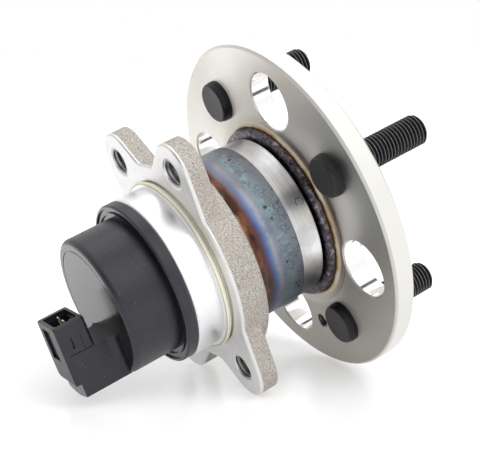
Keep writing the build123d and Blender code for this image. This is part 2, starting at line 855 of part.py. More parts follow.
def make_socket(pins):
    """Connector housing on the arm: open at the top, latch window on its front."""
    w = arm_half_width
    housing = block((-w, socket_front, arm_top), (w, socket_back, socket_top))
    upright = [e for e in housing.edges() if abs(e.center().Z - (arm_top + socket_top) / 2) < pick]
    back_edges = [e for e in upright if abs(e.center().Y - socket_back) < pick]
    housing = fillet(back_edges, socket_corner)
    top = [e for e in housing.edges() if abs(e.center().Z - socket_top) < pick]
    housing = fillet([max(top, key=lambda e: e.center().Y)], socket_shoulder)
    apron = block((-w, socket_front, apron_bottom), (w, arm_front, arm_top))
    bottom = [e for e in apron.edges() if abs(e.center().Z - apron_bottom) < pick]
    apron = fillet([e for e in bottom if abs(e.center().X + w) < pick], socket_front_corner)
    housing += apron
    front = [e for e in housing.edges() if abs(e.center().Y - socket_front) < pick]
    left = [e for e in front if abs(e.center().X + w) < pick]
    housing = fillet(left, socket_corner / 2)
    cavity_mouth = socket_top + cutter_over
    cavity = block((cavity_low_x, cavity_front, cavity_floor), (cavity_high_x, cavity_back, cavity_mouth))
    upright = [e for e in cavity.edges() if abs(e.center().Z - (cavity_mouth + cavity_floor) / 2) < pick]
    cavity = fillet(upright, socket_corner / 2)
    housing -= cavity
    mouth_low = (cavity_low_x - mouth_margin, cavity_front - mouth_margin, socket_top - mouth_depth)
    mouth_high = (cavity_high_x + mouth_margin, cavity_back + mouth_margin, cavity_mouth)
    mouth = block(mouth_low, mouth_high)
    upright = [e for e in mouth.edges() if abs(e.center().Z - (mouth_low[2] + cavity_mouth) / 2) < pick]
    housing -= fillet(upright, socket_corner)
    # Coding rib inside, latch window on the front, catch slot and parting groove on the side
    rib_front = cavity_back - rib_reach
    rib_top = socket_top - mouth_depth
    housing += block((rib_low_x, rib_front, cavity_floor), (rib_low_x + rib_width, cavity_back, rib_top))
    window_top = socket_top - window_drop
    window_low = (window_low_x, socket_front, window_top - window_height)
    housing -= block(window_low, (window_high_x, socket_front + window_depth, window_top))
    catch_y = socket_front + catch_setback
    catch_top = socket_top - catch_drop
    catch_low = (w - catch_depth, catch_y, catch_top - catch_height)
    housing -= block(catch_low, (w, catch_y + catch_width, catch_top))
    parting_y = socket_front + parting_setback
    parting_top = socket_top - parting_drop
    parting_low = (w - parting_depth, parting_y, parting_top - parting_height)
    housing -= block(parting_low, (w, parting_y + parting_width, parting_top))
    # Seam all along the joint with the arm
    for inside, outside in ((w - seam_depth, w), (-w, seam_depth - w)):
        housing -= block((inside, arm_front, arm_top), (outside, socket_back, arm_top + seam_depth))
    housing -= pins
    return housing


parts = {}
parts["outer_ring"] = make_outer_ring()
parts["wheel_hub"] = make_wheel_hub()
parts["wheel_studs"] = make_studs()
parts["inner_ring"] = make_inner_ring()
parts["outboard_balls"] = make_balls(outboard_row)
parts["outboard_cage"] = make_cage(outboard_row)
parts["inboard_balls"] = make_balls(inboard_row)
parts["inboard_cage"] = make_cage(inboard_row)
parts["seal_case"] = make_seal_case()
parts["seal_lip"] = make_seal_lip()
parts["lock_nut"] = make_lock_nut()
parts["tone_ring"] = make_tone_ring()
parts["pole_piece"] = make_pole_piece()
parts["sensor_magnet"] = make_magnet()
parts["coil_bobbin"] = make_bobbin()
parts["coil_winding"] = make_winding()
parts["cap_sleeve"] = make_sleeve()
parts["cap_oring"] = make_oring()
parts["terminal_pins"] = make_pins()
parts["sensor_cap"] = make_cap(parts["terminal_pins"])
parts["connector_socket"] = make_socket(parts["terminal_pins"])

os.makedirs("parts", exist_ok=True)
for name, shape in parts.items():
    export_step(shape, "parts/" + name + ".step")
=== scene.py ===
import math

import bpy
from mathutils import Matrix, Vector


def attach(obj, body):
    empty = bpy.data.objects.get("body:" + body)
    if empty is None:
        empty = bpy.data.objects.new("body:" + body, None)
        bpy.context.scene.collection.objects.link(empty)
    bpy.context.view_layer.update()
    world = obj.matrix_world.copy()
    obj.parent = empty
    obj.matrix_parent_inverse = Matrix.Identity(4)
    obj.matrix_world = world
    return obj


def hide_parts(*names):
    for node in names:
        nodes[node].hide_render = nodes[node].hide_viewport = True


# A wheel hub bearing. Lengths are in metres in the model and in millimetres inside the materials.
# Y is the spin axis and points to the wheel, Z is up towards the upper ears.
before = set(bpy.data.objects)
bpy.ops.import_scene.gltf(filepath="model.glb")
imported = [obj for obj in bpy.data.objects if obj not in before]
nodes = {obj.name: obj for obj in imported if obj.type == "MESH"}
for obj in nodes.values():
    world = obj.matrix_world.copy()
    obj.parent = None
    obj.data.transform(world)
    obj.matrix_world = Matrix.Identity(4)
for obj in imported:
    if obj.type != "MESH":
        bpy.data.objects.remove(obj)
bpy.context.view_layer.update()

MM = 0.001
SPIN_AXIS = (0.0, 1.0, 0.0)

# Sizes in millimetres, those of the CAD solids repeated from their source
BOLT_RADIUS = 50.0
STUD_TURN = 24.6
STUD_COUNT = 4
FLANGE_FACE = 48.2
FLANGE_BACK = 56.8
STUD_RADIUS = 6.0
STUD_TIP = 89.5
STUD_PITCH = 1.5
THREAD_ROOT = 5.08
TIP_CHAMFER = 1.2
HEAD_HEIGHT = 4.0
HEAD_RADIUS = 8.0
HEAD_FOOT_RADIUS = 8.3
EAR_X = 23.0
EAR_Z = 39.837
EAR_THICKNESS = 8.0
EAR_THREAD_RADIUS = 5.0
BOSS_RADIUS = 35.7
BOSS_BLEND = 2.3
LOCATOR_TURN = 22.1
LOCATOR_RADIUS = 3.0
LOCATOR_ANGLE = math.radians(STUD_TURN + 270.0 - LOCATOR_TURN)
LOCATOR_PLACE = (BOLT_RADIUS * math.cos(LOCATOR_ANGLE), BOLT_RADIUS * math.sin(LOCATOR_ANGLE))

# Camera: fitted to the photograph, then written in the model's frame
CAMERA_PLACE = (0.407649, -0.155815, 0.155738)
CAMERA_RIGHT = (0.486844, 0.815323, -0.313418)
CAMERA_UP = (-0.144886, 0.429217, 0.891505)
CAMERA_BACK = (0.861389, -0.388614, 0.327091)
CAMERA_LENS = 91.53
CAMERA_SENSOR = 36.0
CAMERA_CLIP = (0.01, 20.0)

# The table that the part rests on, on its lower ears and the rim of the wheel flange
TABLE_TILT = math.radians(20.0)
TABLE_UP = Vector((0.0, math.sin(TABLE_TILT), math.cos(TABLE_TILT)))
TABLE_POINT = Vector((0.0, 1.1, -51.6)) * MM
TABLE_HALF = 3.0
TABLE_COLOUR = (0.78, 0.78, 0.79, 1.0)
TABLE_ROUGHNESS = 0.25

# How strongly the table glows to the eye near the part and away from it, and how far each reaches in metres
NEAR_GLOW = 0.39
FAR_GLOW = 0.70
NEAR_REACH = 0.07
FAR_REACH = 0.22

# The white room and its window, and the darker side that only gloss shows, behind the fitted camera.
# An edge or core is the cosine of an angle from the middle of that side.
WHITE = (1.0, 1.0, 1.0, 1.0)
ROOM_LIGHT = 0.27
WINDOW_LIGHT = 2.1
WINDOW_SIDE = Vector((0.62, 0.38, 0.68))
WINDOW_EDGE = 0.60
DARK_SIDE = Vector((0.40, -0.90, 0.16))
DARK_EDGE = 0.60
DARK_CORE = 0.93
DARK_LEVEL = 0.10

# Lamps: name, place, size and power
LAMPS = [
    ("top_lamp", (-0.30, 0.40, 0.98), 0.6, 1.2),
    ("side_lamp", (0.72, 0.50, 0.80), 0.9, 2.6),
]
LAMP_TARGET = Vector((0.0, 0.02, 0.0))


def rgb(red, green, blue):
    """Colour from 0 to 255 as it looks on a screen, made linear for the shaders."""
    linear = []
    for value in (red, green, blue):
        share = value / 255.0
        linear.append(share / 12.92 if share <= 0.04045 else ((share + 0.055) / 1.055) ** 2.4)
    return (*linear, 1.0)


class Nodes:
    """Builds one node tree; each method adds a node and gives back that node or its output."""

    def __init__(self, tree):
        self.tree = tree
        tree.nodes.clear()

    def feed(self, socket, value):
        """Links a socket, or sets it to a plain value."""
        if isinstance(value, bpy.types.NodeSocket):
            self.tree.links.new(value, socket)
        else:
            socket.default_value = value

    def node(self, kind, settings=None, **inputs):
        """A node with its settings and its inputs by name."""
        made = self.tree.nodes.new(kind)
        for key, value in (settings or {}).items():
            setattr(made, key, value)
        for key, value in inputs.items():
            self.feed(made.inputs[key.replace("_", " ")], value)
        return made

    def chain(self, kind, *sources):
        """The first output of a node whose inputs take the sources in order."""
        made = self.tree.nodes.new(kind)
        for socket, source in zip(made.inputs, sources):
            self.feed(socket, source)
        return made.outputs[0]

    def math(self, operation, a, b=0.0):
        made = self.node("ShaderNodeMath", {"operation": operation})
        self.feed(made.inputs[0], a)
        self.feed(made.inputs[1], b)
        return made.outputs[0]

    def times(self, a, b):
        return self.math("MULTIPLY", a, b)

    def plus(self, a, b):
        return self.math("ADD", a, b)

    def minus(self, a, b):
        return self.math("SUBTRACT", a, b)

    def larger(self, a, b):
        return self.math("MAXIMUM", a, b)

    def vector(self, operation, a, b=None, scale=None):
        made = self.node("ShaderNodeVectorMath", {"operation": operation})
        self.feed(made.inputs[0], a)
        if b is not None:
            self.feed(made.inputs[1], b)
        if scale is not None:
            self.feed(made.inputs["Scale"], scale)
        return made.outputs["Value"] if operation in ("LENGTH", "DOT_PRODUCT") else made.outputs[0]

    def span(self, value, start, end):
        """Runs evenly from 0 to 1 while the value goes from start to end."""
        return self.node("ShaderNodeMapRange", Value=value, From_Min=start, From_Max=end).outputs[0]

    def step(self, value, start, end, low=0.0, high=1.0):
        """Runs smoothly from low to high while the value goes from start to end."""
        made = self.node(
            "ShaderNodeMapRange",
            {"interpolation_type": "SMOOTHSTEP"},
            Value=value, From_Min=start, From_Max=end, To_Min=low, To_Max=high,
        )
        return made.outputs[0]

    def seen(self):
        """1 for what the camera sees, also in metal and through glass, and 0 for light on the object."""
        rays = self.node("ShaderNodeLightPath").outputs
        mirrored = self.larger(rays["Is Camera Ray"], rays["Is Glossy Ray"])
        return self.larger(mirrored, rays["Is Transmission Ray"])


class Shader(Nodes):
    """One material: a principled surface and the nodes that feed it, in millimetres."""

    def __init__(self, name):
        self.material = bpy.data.materials.new(name)
        self.material.use_nodes = True
        super().__init__(self.material.node_tree)
        self.surface = self.node("ShaderNodeBsdfPrincipled")
        self.node("ShaderNodeOutputMaterial", Surface=self.surface.outputs[0])
        self.coordinates = self.node("ShaderNodeTexCoord")
        self.point = self.vector("SCALE", self.coordinates.outputs["Object"], scale=1.0 / MM)
        self.x, self.y, self.z = self.node("ShaderNodeSeparateXYZ", Vector=self.point).outputs
        flat = self.node("ShaderNodeCombineXYZ", X=self.x, Z=self.z).outputs[0]
        self.radius = self.vector("LENGTH", flat)

    def within(self, value, low, high, soft):
        """1 between two values and 0 outside, with soft ends."""
        rise = self.step(value, low - soft, low + soft)
        fall = self.step(value, high - soft, high + soft, 1.0, 0.0)
        return self.times(rise, fall)

    def mix(self, factor, a, b):
        """Mixes two colours, or two numbers."""
        colours = any(isinstance(v, tuple) or getattr(v, "type", "") == "RGBA" for v in (a, b))
        made = self.node("ShaderNodeMix", {"data_type": "RGBA" if colours else "FLOAT"})
        first, result = (6, 2) if colours else (2, 0)
        self.feed(made.inputs[0], factor)
        self.feed(made.inputs[first], a)
        self.feed(made.inputs[first + 1], b)
        return made.outputs[result]

    def ramp(self, value, stops):
        """Colour bands from (place, colour) pairs; places are from 0 to 1."""
        made = self.node("ShaderNodeValToRGB", Fac=value)
        points = made.color_ramp.elements
        while len(points) < len(stops):
            points.new(0.5)
        for point, (place, colour) in zip(points, stops):
            point.position = place
            point.color = colour
        return made.outputs[0]

    def noise(self, scale, detail, roughness, vector=None, distortion=0.0):
        """Noise from 0 to 1; scale is in cycles per millimetre."""
        made = self.node(
            "ShaderNodeTexNoise",
            Vector=self.point if vector is None else vector,
            Scale=scale, Detail=detail, Roughness=roughness, Distortion=distortion,
        )
        return made.outputs[0]

    def cells(self, scale, vector=None):
        """Distance to the nearest of scattered points; scale is in cells per millimetre."""
        place = self.point if vector is None else vector
        return self.node("ShaderNodeTexVoronoi", Vector=place, Scale=scale).outputs["Distance"]

    def angle(self):
        """Angle round the spin axis, in radians."""
        return self.math("ARCTAN2", self.z, self.x)

    def turning(self, across, along=0.25):
        """Fine rings round the spin axis, as a lathe leaves them; across is in rings per millimetre."""
        half_way = self.math("SINE", self.times(self.angle(), 0.5))
        ring = self.node(
            "ShaderNodeCombineXYZ",
            X=self.times(self.radius, across), Y=self.times(self.y, across), Z=self.times(half_way, along),
        ).outputs[0]
        return self.noise(1.0, 2.0, 0.6, ring)

    def around(self):
        """Direction round the spin axis, for brushed highlights."""
        place = self.node("ShaderNodeNewGeometry").outputs["Position"]
        return self.vector("NORMALIZE", self.vector("CROSS_PRODUCT", SPIN_AXIS, place))

    def facing(self):
        """How far the surface faces the wheel: minus 1 towards the axle, 1 towards the wheel."""
        return self.vector("DOT_PRODUCT", self.coordinates.outputs["Normal"], SPIN_AXIS)

    def bump(self, height, distance, strength=1.0, normal=None):
        """Raised and sunk detail; distance is in millimetres."""
        made = self.node("ShaderNodeBump", Strength=strength, Distance=distance * MM, Height=height)
        if normal is not None:
            self.feed(made.inputs["Normal"], normal)
        return made.outputs[0]

    def finish(self, **inputs):
        """Feeds the surface and gives back the material."""
        for key, value in inputs.items():
            self.feed(self.surface.inputs[key.replace("_", " ")], value)
        return self.material


def dress(name, material):
    """Gives a CAD node a material in each of its slots."""
    node = nodes[name]
    for slot in node.material_slots:
        slot.material = material


# Material of the axle side ring

# Where its looks change, each from start to end in millimetres, but FACE_TURNED as the facing
SPIGOT_END = (-0.3, -0.2)
BEAD_START = (33.55, 33.7)
BEAD_FRONT = (-1.8, -2.1)
BEAD_BACK = (-0.65, -0.4)
GROOVE_ALONG = (-0.45, 0.3)
GROOVE_ACROSS = (33.4, 35.2)
FACE_DEPTH = (1.3, 1.0)
FACE_START = (33.4, 33.6)
FACE_TURNED = (-0.82, -0.6)
EARS_START = (36.6, 36.9)
BARREL_START = (8.2, 8.4)
BAND_START = (33.8, 34.0)

# Middle of a small smudge on the machined band, and its inner and outer radius
SMUDGE = (30.4, 40.6, 11.4)
SMUDGE_RADII = (1.4, 1.7)

# Heat colours rounded from ones measured along the barrel in the photo, each with its place on the axis
HEAT_START = 8.0
HEAT_END = 33.0
STRAW = rgb(170, 155, 135)
BROWN = rgb(95, 62, 45)
PLUM = rgb(90, 62, 75)
INDIGO = rgb(80, 85, 125)
BLUE = rgb(90, 115, 160)
SILVER = rgb(155, 158, 165)
STEEL = rgb(130, 139, 147)
HEAT_TINTS = [
    (14.0, STRAW), (15.5, BROWN), (17.4, BROWN), (18.8, PLUM), (19.9, INDIGO), (21.0, BLUE), (22.8, SILVER),
    (24.6, STEEL),
]

# Scale, cracks and pits lie between the heat colours and the band
SCALE_START = (24.8, 26.6)
TEAL_END = (31.0, 28.5)
CRACKS_START = (26.0, 28.5)
PITS_START = (25.6, 27.2)

# Width of the shaded countersink round an ear hole
EAR_MOUTH = 1.2


def blasted_steel(s, speckle):
    """Pale speckle with dark grains and warm patches."""
    steel = s.ramp(speckle, [
        (0.32, rgb(108, 102, 95)),
        (0.44, rgb(168, 161, 154)),
        (0.54, rgb(206, 202, 196)),
        (0.68, rgb(242, 240, 237)),
    ])
    patches = s.noise(0.10, 2.0, 0.5)
    return s.mix(s.step(patches, 0.35, 0.7, 0.0, 0.28), steel, rgb(196, 178, 156))


def turned_band(s):
    """Fine rings and broad soft patches, painted shade towards the bottom, and a small smudge."""
    fine_rings = s.turning(5.0, 1.2)
    steel = s.mix(s.step(fine_rings, 0.3, 0.7), rgb(226, 226, 228), rgb(252, 252, 253))
    patch = s.noise(0.11, 2.0, 0.5)
    steel = s.mix(s.step(patch, 0.48, 0.64, 0.0, 0.3), steel, rgb(184, 184, 189))
    # Painted shade: the band is darker towards the bottom.
    painted_shade_below = s.step(s.z, -8.0, -19.0, 0.0, 0.75)
    steel = s.mix(painted_shade_below, steel, rgb(96, 95, 99))

    away = s.vector("LENGTH", s.vector("SUBTRACT", s.point, SMUDGE))
    ragged = s.plus(away, s.times(s.minus(s.noise(1.2, 3.0, 0.7), 0.5), 1.6))
    broken = s.step(s.noise(0.5, 2.0, 0.5), 0.44, 0.52)
    smudge = s.times(s.within(ragged, *SMUDGE_RADII, 0.15), broken)
    return s.mix(s.times(smudge, 0.9), steel, rgb(60, 58, 60))


def wavy_place(s):
    """Place along the axis, swayed and rippled so that the colours have a wavy front."""
    sway = s.minus(s.noise(0.045, 2.0, 0.5), 0.5)
    ripple = s.minus(s.noise(0.35, 3.0, 0.6), 0.5)
    return s.plus(s.plus(s.y, s.times(sway, 4.0)), ripple)


def heat_colours(s, along):
    """Tempering colours in bands, blotched in the brown and clouded in the grey."""
    colour = s.ramp(s.span(along, HEAT_START, HEAT_END), [
        ((place - HEAT_START) / (HEAT_END - HEAT_START), tint) for place, tint in HEAT_TINTS
    ])
    blotch_point = s.node(
        "ShaderNodeCombineXYZ", X=s.times(s.angle(), 3.6), Y=s.times(s.y, 0.22),
    ).outputs[0]
    blotch = s.noise(1.0, 2.0, 0.5, blotch_point, 0.2)
    rust = s.times(s.step(blotch, 0.50, 0.72), s.step(along, 18.2, 15.8))
    colour = s.mix(rust, colour, rgb(150, 98, 66))
    umber = s.times(s.step(blotch, 0.56, 0.32), s.step(along, 19.4, 16.8))
    colour = s.mix(umber, colour, rgb(54, 29, 20))
    cloud = s.step(s.noise(0.16, 3.0, 0.6, distortion=0.4), 0.42, 0.60, 0.0, 0.45)
    cloud = s.times(cloud, s.within(along, 20.5, 26.0, 1.2))
    colour = s.mix(cloud, colour, rgb(96, 112, 140))
    pale = s.times(s.step(s.z, 12.0, 30.0, 0.0, 0.62), s.step(along, 17.5, 19.5))
    return s.mix(pale, colour, rgb(120, 118, 121))


def scaled(s, colour, along, flakes, scale_zone, pits):
    """The heat colours with teal and dark scale, cracks and pits on them, and painted shade towards the
    bottom.
    """
    teal = s.times(scale_zone, s.step(flakes, 0.40, 0.62, 0.0, 0.7))
    colour = s.mix(s.times(teal, s.step(along, *TEAL_END)), colour, rgb(136, 170, 176))
    dark_scale = s.times(scale_zone, s.step(flakes, 0.45, 0.34))
    colour = s.mix(s.times(dark_scale, 0.55), colour, rgb(92, 90, 98))
    crack = s.within(s.noise(0.42, 5.0, 0.66, distortion=0.7), 0.482, 0.516, 0.01)
    crack_zone = s.times(s.step(along, *CRACKS_START), s.step(s.noise(0.12, 2.0, 0.5), 0.42, 0.52))
    colour = s.mix(s.times(s.times(crack, crack_zone), 0.8), colour, rgb(58, 56, 64))
    colour = s.mix(s.times(pits, 0.9), colour, rgb(40, 38, 44))
    # Painted shade: the barrel is darker towards the bottom.
    painted_shade_below = s.step(s.z, 6.0, -20.0, 0.0, 0.62)
    return s.mix(painted_shade_below, colour, rgb(50, 48, 56))


def pit_mask(s, along):
    """Scattered pits with ragged edges, in a few places only."""
    shove = s.node("ShaderNodeTexNoise", Vector=s.point, Scale=0.6, Detail=3.0).outputs[1]
    ragged = s.vector("ADD", s.point, s.vector("SCALE", shove, scale=1.5))
    pits = s.times(s.step(s.cells(0.28, ragged), 0.30, 0.16), s.step(s.noise(0.13, 1.0, 0.5), 0.44, 0.54))
    return s.times(pits, s.step(along, *PITS_START))


def ear_hole_mouth(s):
    """0 at the thread of an ear hole and 1 where its shaded countersink ends."""
    across = s.minus(s.math("ABSOLUTE", s.x), EAR_X)
    up = s.minus(s.math("ABSOLUTE", s.z), EAR_Z)
    from_hole = s.vector("LENGTH", s.node("ShaderNodeCombineXYZ", X=across, Y=up).outputs[0])
    return s.span(from_hole, EAR_THREAD_RADIUS, EAR_THREAD_RADIUS + EAR_MOUTH)


def ring_material():
    """Eared ring: polished spigot, satin face, blasted sides, heat colours and machined band."""
    s = Shader("ring_finish")
    front = s.step(s.facing(), *FACE_TURNED, 1.0, 0.0)
    near_face = s.step(s.y, *FACE_DEPTH)
    spigot = s.step(s.y, *SPIGOT_END, 1.0, 0.0)
    bead = s.times(spigot, s.step(s.radius, *BEAD_START))
    spigot_wall = s.minus(spigot, bead)
    outside = s.step(s.radius, *EARS_START)
    barrel = s.times(s.step(s.y, *BARREL_START), s.minus(1.0, outside))
    band = s.times(barrel, s.step(s.y, *BAND_START))
    heat = s.minus(barrel, band)
    face = s.times(front, near_face)
    satin_area = s.larger(face, s.times(near_face, s.step(s.radius, *FACE_START)))
    polished = s.larger(spigot_wall, band)

    speckle = s.plus(s.times(s.noise(1.9, 2.0, 0.7), 0.55), s.times(s.noise(4.5, 2.0, 0.6), 0.45))
    rings = s.turning(3.0)
    mottle = s.noise(0.16, 3.0, 0.6)
    satin = s.mix(rings, rgb(213, 212, 212), rgb(232, 231, 231))
    satin = s.mix(s.step(mottle, 0.4, 0.75, 0.0, 0.3), satin, rgb(214, 207, 199))
    silver = s.mix(rings, rgb(232, 232, 233), rgb(244, 244, 245))

    along = wavy_place(s)
    scale_zone = s.step(along, *SCALE_START)
    flakes = s.noise(0.42, 5.0, 0.68, distortion=0.9)
    pits = pit_mask(s, along)
    heated = scaled(s, heat_colours(s, along), along, flakes, scale_zone, pits)

    colour = s.mix(outside, satin, blasted_steel(s, speckle))
    colour = s.mix(satin_area, colour, satin)
    colour = s.mix(barrel, colour, heated)
    colour = s.mix(band, colour, turned_band(s))
    colour = s.mix(spigot_wall, colour, silver)
    # Painted shade: the bead is darker along its front and back edges.
    bead_edge_shade = s.larger(s.step(s.y, *BEAD_FRONT), s.step(s.y, *BEAD_BACK))
    colour = s.mix(bead, colour, s.mix(bead_edge_shade, rgb(252, 250, 228), rgb(190, 186, 162)))
    # Painted light: the groove by the face is paler than the satin, to lift its shade.
    painted_light_groove = s.times(s.within(s.y, *GROOVE_ALONG, 0.06), s.within(s.radius, *GROOVE_ACROSS, 0.05))
    colour = s.mix(s.times(painted_light_groove, s.minus(1.0, face)), colour, rgb(240, 238, 232))

    rough = s.mix(outside, 0.34, 0.72)
    rough = s.mix(satin_area, rough, s.plus(0.34, s.times(mottle, 0.12)))
    rough = s.mix(heat, rough, s.mix(scale_zone, 0.38, 0.48))
    rough = s.mix(polished, rough, 0.31)

    blasted = s.minus(outside, s.times(outside, satin_area))
    blast_bump = s.bump(ear_hole_mouth(s), 0.9, front, s.bump(speckle, 0.08, blasted))
    flake_height = s.minus(flakes, s.times(pits, 1.2))
    return s.finish(
        Base_Color=colour, Metallic=s.mix(heat, s.mix(blasted, 1.0, 0.5), 0.76), Roughness=rough,
        Normal=s.bump(flake_height, 0.06, s.times(heat, scale_zone), blast_bump),
        Anisotropic=s.mix(polished, s.mix(blasted, 0.55, 0.0), 0.85), Tangent=s.around(),
    )


# Material of the hub

# Where its looks change, each from start to end in millimetres
RIM_START = (68.2, 68.6)
BORE_END = (27.0, 27.6)
SCALE_BORE_END = (27.2, 27.6)
FACE_SIDE = (49.3, 48.9)
HOLE_RING = (36.0, 66.0)
HOLE_DEPTH = (48.3, 56.7)

# The burnt path from the boss over the fillet to the flange, in millimetres from the fillet's start
PATH_START = -1.0
PATH_END = 9.0
BURN_FADE = 6.5
SCALE_GREY = rgb(104, 98, 102)
CHARRED = rgb(58, 37, 25)
BURNT_BROWN = rgb(70, 46, 28)
BURNT_STRAW = rgb(178, 152, 112)
PALE_STRAW = rgb(200, 190, 172)
WARM_STEEL = rgb(214, 209, 201)
CLEAN_STEEL = rgb(222, 219, 213)
BURN_TINTS = [
    (0.0, SCALE_GREY), (0.5, CHARRED), (1.1, BURNT_BROWN), (2.0, BURNT_STRAW), (3.0, PALE_STRAW),
    (5.0, WARM_STEEL), (9.0, CLEAN_STEEL),
]


def turned_flange(s, facing, mottle):
    """Fine rings with a warm mottle, painted shade towards the bottom of the axle side, and a paler rim."""
    steel = s.mix(s.turning(1.6), rgb(220, 217, 211), rgb(234, 231, 225))
    steel = s.mix(s.step(mottle, 0.45, 0.75, 0.0, 0.25), steel, rgb(224, 216, 204))
    # Painted shade: the axle-side face darkens towards the bottom.
    shade = s.times(s.step(s.z, 10.0, -64.0, 0.0, 0.6), s.step(facing, -0.5, -0.8))
    steel = s.mix(shade, steel, rgb(150, 146, 138))
    return s.mix(s.step(s.radius, *RIM_START), steel, rgb(224, 223, 219))


def burnt_path(s):
    """How far a point lies along the path, with a wandering edge near the boss."""
    wander = s.minus(s.noise(0.28, 4.0, 0.65), 0.5)
    path = s.plus(s.minus(s.y, FLANGE_FACE - BOSS_BLEND), s.minus(s.radius, BOSS_RADIUS))
    return s.plus(path, s.times(wander, s.step(path, 3.5, 1.0, 0.0, 1.6)))


def burn_colours(s, path):
    """Dark at the boss, then brown and straw, with a tint in places and a faint line of painted shade at
    the fillet's outer edge.
    """
    burn = s.ramp(s.span(path, PATH_START, PATH_END), [
        ((place - PATH_START) / (PATH_END - PATH_START), tint) for place, tint in BURN_TINTS
    ])
    tint = s.step(s.noise(0.07, 2.0, 0.5), 0.40, 0.60)
    burn = s.mix(s.times(tint, s.within(path, 1.7, 4.0, 0.7)), burn, rgb(206, 196, 182))
    # Painted shade: a faint grey line where the fillet meets the face, on the +X side only.
    fillet_edge_shade = s.times(s.within(path, 5.8, 6.3, 0.4), s.step(s.x, 6.0, 24.0, 0.0, 0.6))
    return s.mix(fillet_edge_shade, burn, rgb(150, 145, 142))


def hub_material():
    """Wheel flange: fine turned face, burnt fillet, dark scaly boss and bright hole walls."""
    s = Shader("hub_finish")
    facing = s.facing()
    mottle = s.noise(0.06, 3.0, 0.6)
    path = burnt_path(s)
    burnt = s.times(s.step(s.y, *FACE_SIDE), s.step(path, PATH_END, BURN_FADE))
    burnt = s.times(burnt, s.step(s.radius, *BORE_END))
    colour = s.mix(burnt, turned_flange(s, facing, mottle), burn_colours(s, path))
    flakes = s.noise(0.5, 4.0, 0.62, distortion=0.6)
    scale = s.times(s.step(path, 0.5, 0.0), s.step(s.radius, *SCALE_BORE_END))
    colour = s.mix(scale, colour, s.ramp(flakes, [
        (0.32, rgb(48, 45, 49)),
        (0.46, rgb(78, 73, 78)),
        (0.60, rgb(112, 107, 112)),
        (0.74, rgb(190, 186, 186)),
    ]))

    # Walls of the round openings between the studs, and painted shade on the wall of the small tapped hole
    between = s.times(s.within(s.radius, *HOLE_RING, 0.5), s.within(s.y, *HOLE_DEPTH, 0.1))
    wall = s.times(between, s.within(facing, -0.4, 0.4, 0.1))
    colour = s.mix(wall, colour, rgb(250, 250, 250))
    from_locator = s.vector("SUBTRACT", s.point, (LOCATOR_PLACE[0], 0.0, LOCATOR_PLACE[1]))
    from_locator = s.vector("LENGTH", s.vector("MULTIPLY", from_locator, (1.0, 0.0, 1.0)))
    hole_shade = s.step(from_locator, LOCATOR_RADIUS + 0.5, LOCATOR_RADIUS + 0.2)
    colour = s.mix(s.times(wall, hole_shade), colour, rgb(64, 61, 60))
    rough = s.mix(scale, s.plus(0.43, s.times(mottle, 0.08)), 0.40)
    return s.finish(
        Base_Color=colour, Metallic=1.0, Roughness=s.mix(wall, rough, 0.16),
        Normal=s.bump(flakes, 0.09, scale),
        Anisotropic=s.mix(s.larger(wall, scale), 0.88, 0.0), Tangent=s.around(),
    )


# Other materials

NYLON_IOR = 1.53


def oxide_material():
    """Black oxide on the studs, brighter along the crests and edges, partly rubbed metal and partly painted
    highlight.
    """
    s = Shader("stud_finish")
    rub_and_highlight = s.node("ShaderNodeAttribute", {"attribute_name": "rub_and_highlight"}).outputs["Fac"]
    mottle = s.noise(0.5, 4.0, 0.65)
    chips = s.noise(1.1, 3.0, 0.7)
    # Rubbed metal and painted highlight along the crests and edges.
    rubbed_and_lit = s.times(s.step(rub_and_highlight, 0.35, 0.95), s.step(chips, 0.30, 0.55, 0.45, 1.0))
    black = s.mix(mottle, rgb(9, 9, 12), rgb(27, 26, 31))
    colour = s.mix(rubbed_and_lit, black, rgb(112, 111, 115))
    return s.finish(
        Base_Color=colour, Metallic=s.mix(rubbed_and_lit, 0.25, 0.8),
        Roughness=s.plus(0.34, s.times(mottle, 0.16)), Specular_IOR_Level=0.45,
        Normal=s.bump(s.noise(1.2, 5.0, 0.72), 0.05),
    )


def cap_material():
    """Moulded black nylon: glossier front face, soft mottle and fine scuffs."""
    s = Shader("cap_finish")
    front = s.step(s.facing(), -0.9, -0.98)
    mottle = s.noise(0.22, 4.0, 0.6)
    stretch = s.node("ShaderNodeMapping", Vector=s.point, Scale=(0.15, 1.6, 0.15)).outputs[0]
    scuff = s.noise(0.9, 3.0, 0.6, stretch)
    arcs = s.turning(1.2)
    colour = s.mix(mottle, rgb(21, 21, 30), rgb(31, 32, 44))
    colour = s.mix(front, colour, rgb(8, 8, 10))
    dust = s.times(s.step(s.cells(0.7), 0.16, 0.10), s.step(s.noise(0.31, 2.0, 0.5), 0.56, 0.60))
    colour = s.mix(s.times(dust, 0.5), colour, rgb(132, 130, 130))
    rough = s.plus(0.30, s.times(scuff, 0.20))
    rough = s.mix(front, rough, s.plus(0.17, s.times(arcs, 0.08)))
    return s.finish(
        Base_Color=colour, Roughness=rough, IOR=NYLON_IOR, Specular_IOR_Level=s.mix(front, 0.5, 1.0),
        Normal=s.bump(s.noise(1.4, 4.0, 0.65), 0.02, 1.0, s.bump(scuff, 0.012)),
    )


def socket_material():
    """Moulded connector: the same black nylon with a finer grain."""
    s = Shader("socket_finish")
    mottle = s.noise(0.4, 4.0, 0.6)
    colour = s.mix(mottle, rgb(19, 19, 27), rgb(28, 28, 38))
    return s.finish(
        Base_Color=colour, Roughness=s.plus(0.30, s.times(mottle, 0.16)), IOR=NYLON_IOR,
        Normal=s.bump(s.noise(2.2, 4.0, 0.65), 0.018),
    )


